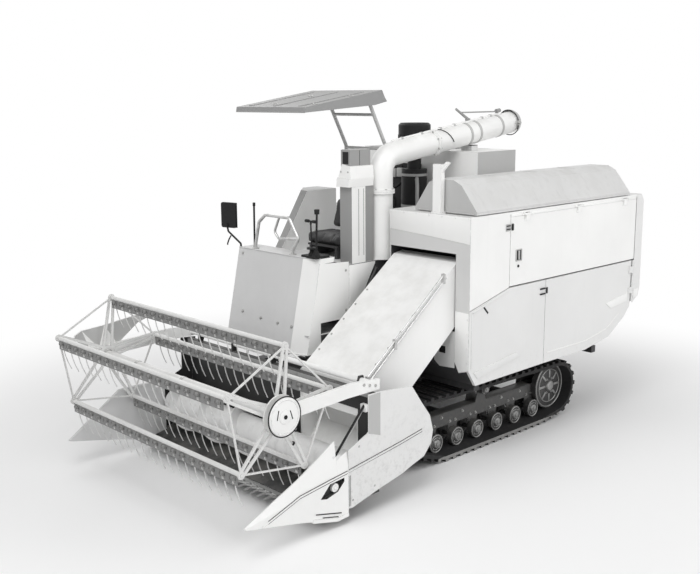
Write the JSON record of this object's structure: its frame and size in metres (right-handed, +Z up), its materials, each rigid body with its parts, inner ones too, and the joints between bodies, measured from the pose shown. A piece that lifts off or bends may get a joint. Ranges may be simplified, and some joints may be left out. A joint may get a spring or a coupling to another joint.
{
  "type": "tracked combine harvester",
  "caption": "Small tracked rice combine with a tined reel, auger table, feeder house, side thresher, grain tank and swinging unloading tube.",
  "frame": {"origin": "middle of the bounding box, on the ground under the tracks", "axes": "+X to the machine's left, +Y to its rear, +Z up"},
  "size_m": [2.268, 4.7349, 2.9134],
  "materials": {
    "white_paint": "satin",
    "light_paint": "satin",
    "grey_paint": "satin",
    "dark_paint": "satin",
    "frame_paint": "matte",
    "bright_steel": "brushed",
    "worn_steel": "worn",
    "cast_parts": "rough",
    "track_rubber": "matte",
    "seat_cover": "soft",
    "black_plastic": "matte"
  },
  "bodies": {
    "machine": {"chassis_frame": "frame_paint", "frame_legs": "frame_paint", "gearbox": "cast_parts", "drive_sprockets": "cast_parts", "road_rollers": "cast_parts", "track_frames": "frame_paint", "tracks": "track_rubber", "thresher_body": "light_paint", "front_panel": "white_paint", "side_panels": "white_paint", "cradle_post": "white_paint", "straw_hood": "light_paint", "grain_tank": "light_paint", "engine_block": "cast_parts", "engine_cover": "grey_paint", "radiator_box": "light_paint", "air_cleaner": "black_plastic", "platform": "light_paint", "step": "frame_paint", "handrail": "white_paint", "console": "light_paint", "mirror": "black_plastic", "seat_frame": "frame_paint", "seat_cushion": "seat_cover", "seat_back": "seat_cover", "canopy_frame": "grey_paint", "canopy_roof": "grey_paint", "side_console": "light_paint", "unloader_pipe": "white_paint", "tube_rest": "dark_paint", "ram_bracket": "frame_paint"},
    "upper_door": {"upper_door": "white_paint"},
    "lower_door": {"lower_door": "light_paint"},
    "drum_cover": {"drum_cover": "light_paint"},
    "tank_lid": {"tank_lid": "light_paint"},
    "unloader": {"unloader_tube": "white_paint", "spout_linkage": "grey_paint"},
    "spout": {"spout": "white_paint"},
    "header": {"feeder_house": "white_paint", "feeder_rods": "grey_paint", "header_frame": "white_paint", "dividers": "white_paint", "cutter_bar": "worn_steel"},
    "table_auger": {"table_auger": "light_paint"},
    "reel_arms": {"reel_arms": "white_paint"},
    "reel": {"reel_frame": "white_paint"},
    "ram_barrel": {"ram_barrel": "dark_paint"},
    "ram_rod": {"ram_rod": "bright_steel"},
    "reel_bat_1": {"reel_bat_1": "white_paint"},
    "reel_bat_2": {"reel_bat_2": "white_paint"},
    "reel_bat_3": {"reel_bat_3": "white_paint"},
    "reel_bat_4": {"reel_bat_4": "white_paint"},
    "reel_bat_5": {"reel_bat_5": "white_paint"}
  },
  "joints": [
    {"name": "header_lift", "type": "hinge", "parent": "machine", "child": "header", "pos_m": [0, 0.04, 1.44], "axis": [-1, 0, 0], "range_deg": [-1, 18]},
    {"name": "auger_turn", "type": "hinge", "parent": "header", "child": "table_auger", "pos_m": [0, -1.306, 0.348], "axis": [1, 0, 0], "continuous": true},
    {"name": "reel_lift", "type": "hinge", "parent": "header", "child": "reel_arms", "pos_m": [0, -1.112, 0.92], "axis": [-1, 0, 0], "range_deg": [-2, 12]},
    {"name": "reel_turn", "type": "hinge", "parent": "reel_arms", "child": "reel", "pos_m": [0, -1.939, 0.889], "axis": [1, 0, 0], "continuous": true},
    {"name": "bat_1_turn", "type": "hinge", "parent": "reel", "child": "reel_bat_1", "pos_m": [0, -1.87707, 1.32967], "axis": [1, 0, 0], "continuous": true},
    {"name": "bat_2_turn", "type": "hinge", "parent": "reel", "child": "reel_bat_2", "pos_m": [0, -2.33896, 1.08407], "axis": [1, 0, 0], "continuous": true},
    {"name": "bat_3_turn", "type": "hinge", "parent": "reel", "child": "reel_bat_3", "pos_m": [0, -2.24812, 0.56889], "axis": [1, 0, 0], "continuous": true},
    {"name": "bat_4_turn", "type": "hinge", "parent": "reel", "child": "reel_bat_4", "pos_m": [0, -1.73009, 0.49609], "axis": [1, 0, 0], "continuous": true},
    {"name": "bat_5_turn", "type": "hinge", "parent": "reel", "child": "reel_bat_5", "pos_m": [0, -1.50076, 0.96627], "axis": [1, 0, 0], "continuous": true},
    {"name": "ram_swing", "type": "hinge", "parent": "machine", "child": "ram_barrel", "pos_m": [0.255, -0.12, 0.445], "axis": [-1, 0, 0], "range_deg": [-3, 25]},
    {"name": "ram_slide", "type": "slide", "parent": "ram_barrel", "child": "ram_rod", "axis": [0, -0.9995, -0.0327], "range_m": [-0.03, 0.34]},
    {"name": "upper_door_hinge", "type": "hinge", "parent": "machine", "child": "upper_door", "pos_m": [1.09, 1.3, 1.952], "axis": [0, -1, 0], "range_deg": [0, 75]},
    {"name": "lower_door_hinge", "type": "hinge", "parent": "machine", "child": "lower_door", "pos_m": [1.09, 2.217, 1.2], "axis": [0, 0, 1], "range_deg": [0, 100]},
    {"name": "drum_cover_hinge", "type": "hinge", "parent": "machine", "child": "drum_cover", "pos_m": [0.442, 1.05, 1.996], "axis": [0, -1, 0], "range_deg": [0, 40]},
    {"name": "tank_lid_hinge", "type": "hinge", "parent": "machine", "child": "tank_lid", "pos_m": [-0.575, 1.404, 2.395], "axis": [-1, 0, 0], "range_deg": [0, 80]},
    {"name": "unloader_swing", "type": "hinge", "parent": "machine", "child": "unloader", "pos_m": [0.105, -0.05, 2.2], "axis": [0, 0, -1], "range_deg": [0, 100]},
    {"name": "spout_tilt", "type": "hinge", "parent": "unloader", "child": "spout", "pos_m": [0.105, 1.60672, 2.61784], "axis": [1, 0, 0], "range_deg": [-20, 25]}
  ],
  "couplings": [
    {"joint": "ram_swing", "follows": "header_lift", "ratio": 1.0803},
    {"joint": "ram_slide", "follows": "header_lift", "m_per_rad": 1.0027},
    {"joint": "bat_1_turn", "follows": "reel_turn", "ratio": -1},
    {"joint": "bat_2_turn", "follows": "reel_turn", "ratio": -1},
    {"joint": "bat_3_turn", "follows": "reel_turn", "ratio": -1},
    {"joint": "bat_4_turn", "follows": "reel_turn", "ratio": -1},
    {"joint": "bat_5_turn", "follows": "reel_turn", "ratio": -1}
  ]
}
